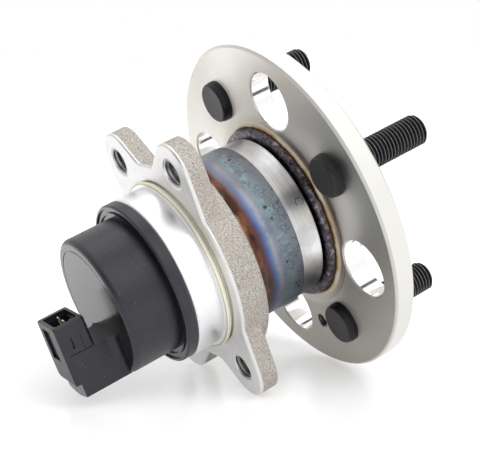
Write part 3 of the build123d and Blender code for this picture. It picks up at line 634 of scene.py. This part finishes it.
def plain_metal(name, dark, light, roughness, rings=5.0):
    """Turned or pressed metal of an inner piece."""
    s = Shader(name)
    colour = s.mix(s.turning(rings), dark, light)
    mottle = s.noise(0.3, 3.0, 0.6)
    return s.finish(
        Base_Color=colour, Metallic=1.0, Roughness=s.plus(roughness, s.times(mottle, 0.1)),
        Normal=s.bump(s.turning(rings * 2), 0.004),
    )


def plain_moulding(name, dark, light, roughness):
    """Moulded plastic or rubber of an inner piece."""
    s = Shader(name)
    mottle = s.noise(0.6, 4.0, 0.6)
    return s.finish(
        Base_Color=s.mix(mottle, dark, light), Roughness=s.plus(roughness, s.times(mottle, 0.12)),
        Normal=s.bump(s.noise(2.5, 3.0, 0.6), 0.02),
    )


def winding_material():
    """Fine enamelled wire, wound in layers."""
    s = Shader("winding_finish")
    wire = s.node(
        "ShaderNodeTexWave", {"bands_direction": "Y", "wave_profile": "SIN"},
        Vector=s.point, Scale=1.3,
    ).outputs[1]
    return s.finish(
        Base_Color=s.mix(wire, rgb(120, 58, 30), rgb(206, 122, 70)), Metallic=0.8, Roughness=0.35,
        Normal=s.bump(wire, 0.08),
    )


def pin_material():
    """Plated terminal."""
    s = Shader("pin_finish")
    mottle = s.noise(1.5, 2.0, 0.5)
    return s.finish(
        Base_Color=s.mix(mottle, rgb(226, 206, 176), rgb(252, 244, 230)), Metallic=0.7, Roughness=0.3,
        Normal=s.bump(mottle, 0.01),
    )


# Mesh helpers

CREASE = math.radians(35.0)


def mesh_object(name, points, faces, material, rub_and_highlight=None):
    """Smooth mesh with creased corners; the rub and highlight value is from 0 to 1 for each point."""
    mesh = bpy.data.meshes.new(name)
    mesh.from_pydata([Vector(p) * MM for p in points], [], faces)
    mesh.polygons.foreach_set("use_smooth", [True] * len(mesh.polygons))
    if rub_and_highlight:
        mesh.attributes.new("rub_and_highlight", "FLOAT", "POINT").data.foreach_set("value", rub_and_highlight)
    mesh.set_sharp_from_angle(angle=CREASE)
    mesh.materials.append(material)
    made = bpy.data.objects.new(name, mesh)
    bpy.context.scene.collection.objects.link(made)
    return made


def lathe(outline, centre, around=64):
    """Points, faces and rub-and-highlight values of an outline of (radius, y, value) turned about a line
    along Y.
    """
    points, faces, rub_and_highlight = [], [], []
    for radius, y, rubbed_and_lit in outline:
        for i in range(around):
            a = 2 * math.pi * i / around
            points.append((centre[0] + radius * math.cos(a), y, centre[1] + radius * math.sin(a)))
            rub_and_highlight.append(rubbed_and_lit)
    for k in range(len(outline) - 1):
        for i in range(around):
            j = (i + 1) % around
            faces.append((k * around + i, k * around + j, (k + 1) * around + j, (k + 1) * around + i))
    return points, faces, rub_and_highlight


def helix(profile, pitch, start, end, limit, centre, around):
    """Points, faces and rub-and-highlight values of a thread whose profile is (share of the pitch, radius,
    value).

    The limit gives the radius that the thread may have at each y, such as a chamfered tip.
    """
    steps = (int(math.ceil((end - start) / pitch)) + 1) * around
    count = len(profile)
    points, faces, rub_and_highlight = [], [], []
    for k in range(steps + 1):
        a = 2 * math.pi * k / around
        for share, radius, rubbed_and_lit in profile:
            y = min(max(start + pitch * (k / around + share - 1.0), start), end)
            r = limit(y, radius)
            points.append((centre[0] + r * math.cos(a), y, centre[1] + r * math.sin(a)))
            rub_and_highlight.append(rubbed_and_lit)
    for k in range(steps):
        for i in range(count - 1):
            here = k * count + i
            faces.append((here, here + 1, here + count + 1, here + count))
        if k + around + 1 <= steps:
            here = k * count + count - 1
            above = (k + around) * count
            faces.append((here, above, above + count, here + count))
    return points, faces, rub_and_highlight


def join(meshes):
    """Points, faces and rub-and-highlight values of several meshes as one."""
    points, faces, rub_and_highlight = [], [], []
    for more_points, more_faces, more_wear in meshes:
        base = len(points)
        points += more_points
        faces += [tuple(base + i for i in face) for face in more_faces]
        rub_and_highlight += more_wear
    return points, faces, rub_and_highlight


# Studs and threads, in millimetres

STUD_SLACK = 0.04
STUD_NECK = 1.2
THREAD_GAP = 0.9
THREAD_RUNOUT = (0.3, 0.4)
THREAD_SEGMENTS = 48
TAPPED_SEGMENTS = 40
TAPPED_LEAD = 0.3
TAPPED_SLACK = 0.01
RIDGE_ROUND = 0.03


def stud_limit(y, radius):
    """Chamfered tip of the studs."""
    return min(radius, STUD_RADIUS - max(0.0, y - STUD_TIP + TIP_CHAMFER))


def stud_head():
    """Outline of a head: dished middle, rubbed edge with a painted highlight, step and foot."""
    top = FLANGE_FACE - HEAD_HEIGHT
    return [
        (0.0, top + 0.05, 0.0),
        (6.6, top + 0.03, 0.0),
        (7.0, top, 0.2),
        (7.4, top + 0.04, 0.55),
        (7.8, top + 0.45, 0.4),
        (HEAD_RADIUS, top + 0.75, 0.1),
        (HEAD_RADIUS, top + 1.85, 0.0),
        (HEAD_RADIUS + 0.06, top + 2.1, 0.2),
        (HEAD_FOOT_RADIUS, top + 2.3, 0.35),
        (HEAD_FOOT_RADIUS, top + 2.6, 0.0),
    ]


def wheel_stud(centre):
    """One pressed stud: stepped head, plain shank, rolled helical thread and chamfered tip."""
    shank_start = FLANGE_FACE + 0.01
    thread_start = FLANGE_BACK + THREAD_GAP
    shank_end = thread_start - THREAD_RUNOUT[0]
    root_start = thread_start + THREAD_RUNOUT[1]
    body = lathe(stud_head() + [
        (HEAD_FOOT_RADIUS, shank_start, 0.0),
        (STUD_RADIUS, shank_start, 0.0),
        (STUD_RADIUS, shank_end, 0.1),
        (THREAD_ROOT, root_start, 0.0),
        (STUD_RADIUS - STUD_NECK, root_start, 0.0),
    ], centre)
    flank_top = STUD_RADIUS - STUD_SLACK
    # The crests get the highest rub value, which paints them bright as rubbed oxide and as a highlight.
    profile = [
        (0.0, THREAD_ROOT, 0.0), (0.12, THREAD_ROOT, 0.0), (0.46, flank_top, 0.5),
        (0.50, STUD_RADIUS, 1.0), (0.62, STUD_RADIUS, 1.0), (0.66, flank_top, 0.5),
    ]
    thread = helix(profile, STUD_PITCH, thread_start, STUD_TIP, stud_limit, centre, THREAD_SEGMENTS)
    tip = lathe([
        (STUD_RADIUS - TIP_CHAMFER, STUD_TIP - 0.03, 0.4), (4.4, STUD_TIP, 0.1), (0.0, STUD_TIP, 0.0),
    ], centre, THREAD_SEGMENTS)
    return join([body, thread, tip])


def tapped_thread(centre, hole_radius, depth, pitch, start, end):
    """Helical ridges inside a hole from start to end, run out near both ends."""
    start += TAPPED_LEAD
    end -= TAPPED_LEAD
    outer = hole_radius - TAPPED_SLACK
    inner = outer - depth
    ridge = inner + RIDGE_ROUND

    def limit(y, radius):
        return max(radius, outer - min(y - start, end - y) * 1.2)

    profile = [
        (0.0, outer, 0.0), (0.34, ridge, 0.5), (0.40, inner, 1.0), (0.52, inner, 1.0), (0.58, ridge, 0.5),
        (0.92, outer, 0.0),
    ]
    return helix(profile, pitch, start, end, limit, centre, TAPPED_SEGMENTS)


# Dressing of the CAD nodes

dress("outer_ring", ring_material())
dress("wheel_hub", hub_material())
dress("inner_ring", plain_metal("race_finish", rgb(196, 196, 200), rgb(222, 222, 226), 0.12))
dress("outboard_balls", plain_metal("ball_finish", rgb(214, 214, 218), rgb(232, 232, 236), 0.05))
dress("inboard_balls", nodes["outboard_balls"].material_slots[0].material)
dress("outboard_cage", plain_moulding("cage_finish", rgb(196, 182, 144), rgb(214, 202, 168), 0.42))
dress("inboard_cage", nodes["outboard_cage"].material_slots[0].material)
dress("seal_case", plain_metal("case_finish", rgb(104, 103, 106), rgb(150, 149, 152), 0.34))
dress("seal_lip", plain_moulding("rubber_finish", rgb(20, 20, 21), rgb(32, 32, 33), 0.5))
dress("lock_nut", plain_metal("nut_finish", rgb(150, 148, 140), rgb(186, 184, 176), 0.3))
dress("tone_ring", plain_metal("tone_finish", rgb(140, 140, 142), rgb(176, 176, 178), 0.36))
dress("pole_piece", plain_metal("pole_finish", rgb(140, 140, 142), rgb(170, 170, 172), 0.32))
dress("sensor_magnet", plain_moulding("magnet_finish", rgb(58, 58, 60), rgb(76, 76, 79), 0.5))
dress("coil_bobbin", plain_moulding("bobbin_finish", rgb(38, 38, 38), rgb(54, 54, 54), 0.45))
dress("coil_winding", winding_material())
dress("cap_sleeve", plain_metal("sleeve_finish", rgb(186, 186, 188), rgb(210, 210, 212), 0.25))
dress("cap_oring", plain_moulding("oring_finish", rgb(22, 22, 22), rgb(34, 34, 34), 0.4))
dress("terminal_pins", pin_material())
dress("sensor_cap", cap_material())
dress("connector_socket", socket_material())

# Studs with real threads stand for the plain CAD studs
studs = []
for index in range(STUD_COUNT):
    turn = math.radians(STUD_TURN + 360.0 / STUD_COUNT * index)
    studs.append(wheel_stud((BOLT_RADIUS * math.cos(turn), BOLT_RADIUS * math.sin(turn))))
points, faces, rub_and_highlight = join(studs)
threaded_studs = mesh_object("threaded_studs", points, faces, oxide_material(), rub_and_highlight)
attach(threaded_studs, "hub")
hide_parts("wheel_studs")

# Threads inside the four ear holes and the small hole of the wheel flange
thread_steel = plain_metal("thread_finish", rgb(120, 118, 116), rgb(176, 174, 172), 0.3)
points, faces, rub_and_highlight = join([
    tapped_thread((x, z), EAR_THREAD_RADIUS, 0.75, 1.5, 0.0, EAR_THICKNESS)
    for x in (EAR_X, -EAR_X) for z in (EAR_Z, -EAR_Z)
])
ear_threads = mesh_object("ear_threads", points, faces, thread_steel)
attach(ear_threads, "axle_side")
points, faces, rub_and_highlight = tapped_thread(LOCATOR_PLACE, LOCATOR_RADIUS, 0.5, 1.0, FLANGE_FACE, FLANGE_BACK)
# The thread in the small hole is darker steel: painted shade inside the hole.
shaded_thread = plain_metal("locator_shade", rgb(66, 64, 62), rgb(128, 126, 124), 0.3)
locator_thread = mesh_object("locator_thread", points, faces, shaded_thread)
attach(locator_thread, "hub")


# Camera, table and light

def place_object(name, data, place, axes):
    """A new object of the scene at a place, with the given turn."""
    made = bpy.data.objects.new(name, data)
    made.matrix_world = Matrix.Translation(place) @ axes.to_4x4()
    bpy.context.scene.collection.objects.link(made)
    return made


def add_camera():
    data = bpy.data.cameras.new("view_camera")
    data.lens = CAMERA_LENS
    data.sensor_width = CAMERA_SENSOR
    data.sensor_fit = "HORIZONTAL"
    data.clip_start, data.clip_end = CAMERA_CLIP
    axes = Matrix((CAMERA_RIGHT, CAMERA_UP, CAMERA_BACK)).transposed()
    bpy.context.scene.camera = place_object("view_camera", data, CAMERA_PLACE, axes)


def table_material():
    """White table: plain to the eye, with the object's soft shadow and a faint sheen kept."""
    material = bpy.data.materials.new("table_finish")
    material.use_nodes = True
    s = Nodes(material.node_tree)
    surface = s.node(
        "ShaderNodeBsdfPrincipled",
        Base_Color=TABLE_COLOUR, Roughness=TABLE_ROUGHNESS, Specular_IOR_Level=0.5,
    )
    away = s.vector("LENGTH", s.node("ShaderNodeTexCoord").outputs["Object"])
    lift = s.times(s.seen(), s.step(away, NEAR_REACH, FAR_REACH, NEAR_GLOW, FAR_GLOW))
    glow = s.node("ShaderNodeEmission", Strength=lift)
    both = s.chain("ShaderNodeAddShader", surface.outputs[0], glow.outputs[0])
    s.node("ShaderNodeOutputMaterial", Surface=both)
    return material


def add_table():
    mesh = bpy.data.meshes.new("table")
    corners = [(x * TABLE_HALF, y * TABLE_HALF, 0) for x, y in ((-1, -1), (1, -1), (1, 1), (-1, 1))]
    mesh.from_pydata(corners, [], [(0, 1, 2, 3)])
    mesh.materials.append(table_material())
    table = place_object("table", mesh, TABLE_POINT, TABLE_UP.to_track_quat("Z", "Y").to_matrix())


def add_world():
    """White room, darker behind the camera; it lights softly and shows white in metal and to the camera."""
    world = bpy.data.worlds.new("room")
    bpy.context.scene.world = world
    world.use_nodes = True
    s = Nodes(world.node_tree)
    way = s.node("ShaderNodeTexCoord").outputs["Generated"]
    to_window = s.vector("DOT_PRODUCT", way, WINDOW_SIDE.normalized())
    window = s.step(to_window, WINDOW_EDGE, 1.0, ROOM_LIGHT, WINDOW_LIGHT)
    light = s.node("ShaderNodeBackground", Color=WHITE, Strength=window)
    to_dark = s.vector("DOT_PRODUCT", way, DARK_SIDE.normalized())
    shade = s.step(to_dark, DARK_EDGE, DARK_CORE, 1.0, DARK_LEVEL)
    camera_ray = s.node("ShaderNodeLightPath").outputs["Is Camera Ray"]
    shown = s.node("ShaderNodeBackground", Color=WHITE, Strength=s.larger(camera_ray, shade))
    room = s.chain("ShaderNodeMixShader", s.seen(), light.outputs[0], shown.outputs[0])
    s.node("ShaderNodeOutputWorld", Surface=room)


def add_lamp(name, place, size, power):
    data = bpy.data.lights.new(name, "AREA")
    data.shape = "SQUARE"
    data.size = size
    data.energy = power
    away = Vector(place) - LAMP_TARGET
    place_object(name, data, place, away.to_track_quat("Z", "Y").to_matrix())


add_camera()
add_table()
add_world()
for lamp in LAMPS:
    add_lamp(*lamp)
bpy.context.scene.view_settings.view_transform = "Standard"
